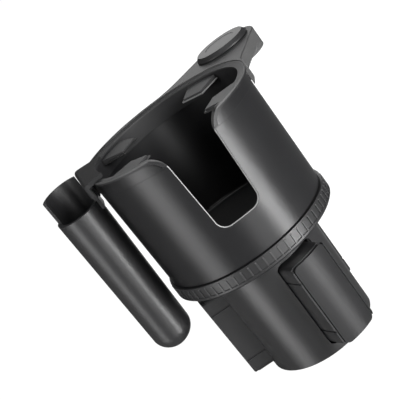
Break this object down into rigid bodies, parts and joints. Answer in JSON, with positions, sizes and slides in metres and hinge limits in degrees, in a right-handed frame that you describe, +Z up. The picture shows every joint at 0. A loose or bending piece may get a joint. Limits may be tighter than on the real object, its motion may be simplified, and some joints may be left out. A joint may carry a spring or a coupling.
{
  "type": "car cup holder expander",
  "caption": "Black plastic cup holder expander with a knurled ring that spreads wings in its foot, a notched cup barrel, an accessory arm and a side tube.",
  "frame": {"origin": "middle of the foot's flat underside, on the axis of the foot and the cup barrel", "axes": "+Z up along the cup's axis; -Y is the side of the cup's handle notch; +X is to the right of someone facing the notch"},
  "size_m": [0.1598, 0.1314, 0.161],
  "materials": {
    "foot": "satin moulded",
    "ring": "satin moulded",
    "acetal": "smooth moulded",
    "barrel": "satin moulded",
    "rim": "satin moulded",
    "collar": "fine grained",
    "tube": "satin moulded",
    "disc": "fine grained",
    "wing": "satin moulded",
    "pad": "satin moulded",
    "tab": "fine grained",
    "mat": "matte",
    "steel": "bright zinc"
  },
  "bodies": {
    "holder": {"foot_shell": "foot", "foot_sole": "foot", "cup_barrel": "barrel", "floor_mat": "mat", "rim_ring": "rim", "accessory_collar": "collar", "side_tube": "tube", "tab_pins": "steel", "sole_screws": "steel", "hub_screws": "steel"},
    "ring": {"adjusting_ring": "ring", "scroll_plate": "acetal", "scroll_screws": "steel"},
    "disc": {"accessory_disc": "disc", "disc_washer": "steel", "disc_screw": "steel"},
    "wing_1": {"wing_slide_1": "wing", "wing_pad_1": "pad"},
    "wing_2": {"wing_slide_2": "wing", "wing_pad_2": "pad"},
    "wing_3": {"wing_slide_3": "wing", "wing_pad_3": "pad"},
    "tab_1": {"grip_tab_1": "tab"},
    "tab_2": {"grip_tab_2": "tab"},
    "tab_3": {"grip_tab_3": "tab"},
    "tab_4": {"grip_tab_4": "tab"}
  },
  "joints": [
    {"name": "ring_turn", "type": "hinge", "parent": "holder", "child": "ring", "pos_m": [0, 0, 0.0755], "axis": [0, 0, 1], "range_deg": [-125, 15]},
    {"name": "wing_1_slide", "type": "slide", "parent": "holder", "child": "wing_1", "axis": [0.3338, -0.9426, 0], "range_m": [-0.01255, 0.00155]},
    {"name": "wing_2_slide", "type": "slide", "parent": "holder", "child": "wing_2", "axis": [0.6494, 0.7604, 0], "range_m": [-0.01255, 0.00155]},
    {"name": "wing_3_slide", "type": "slide", "parent": "holder", "child": "wing_3", "axis": [-0.9833, 0.1822, 0], "range_m": [-0.01255, 0.00155]},
    {"name": "tab_1_swing", "type": "hinge", "parent": "holder", "child": "tab_1", "pos_m": [-0.03602, -0.02764, 0.1518], "axis": [-0.6088, 0.7934, 0], "range_deg": [0, 70], "stiffness_Nm_per_rad": 0.03, "springref_deg": -17.19},
    {"name": "tab_2_swing", "type": "hinge", "parent": "holder", "child": "tab_2", "pos_m": [0.03602, -0.02764, 0.1518], "axis": [-0.6088, -0.7934, 0], "range_deg": [0, 70], "stiffness_Nm_per_rad": 0.03, "springref_deg": -17.19},
    {"name": "tab_3_swing", "type": "hinge", "parent": "holder", "child": "tab_3", "pos_m": [0.03182, 0.03238, 0.1518], "axis": [0.7133, -0.7009, 0], "range_deg": [0, 70], "stiffness_Nm_per_rad": 0.03, "springref_deg": -17.19},
    {"name": "tab_4_swing", "type": "hinge", "parent": "holder", "child": "tab_4", "pos_m": [-0.03182, 0.03238, 0.1518], "axis": [0.7133, 0.7009, 0], "range_deg": [0, 70], "stiffness_Nm_per_rad": 0.03, "springref_deg": -17.19},
    {"name": "disc_swivel", "type": "hinge", "parent": "holder", "child": "disc", "pos_m": [0.0577, 0.0577, 0.1571], "axis": [0, 0, 1], "continuous": true}
  ],
  "couplings": [
    {"joint": "wing_1_slide", "follows": "ring_turn", "m_per_rad": 0.0057296},
    {"joint": "wing_2_slide", "follows": "ring_turn", "m_per_rad": 0.0057296},
    {"joint": "wing_3_slide", "follows": "ring_turn", "m_per_rad": 0.0057296}
  ]
}
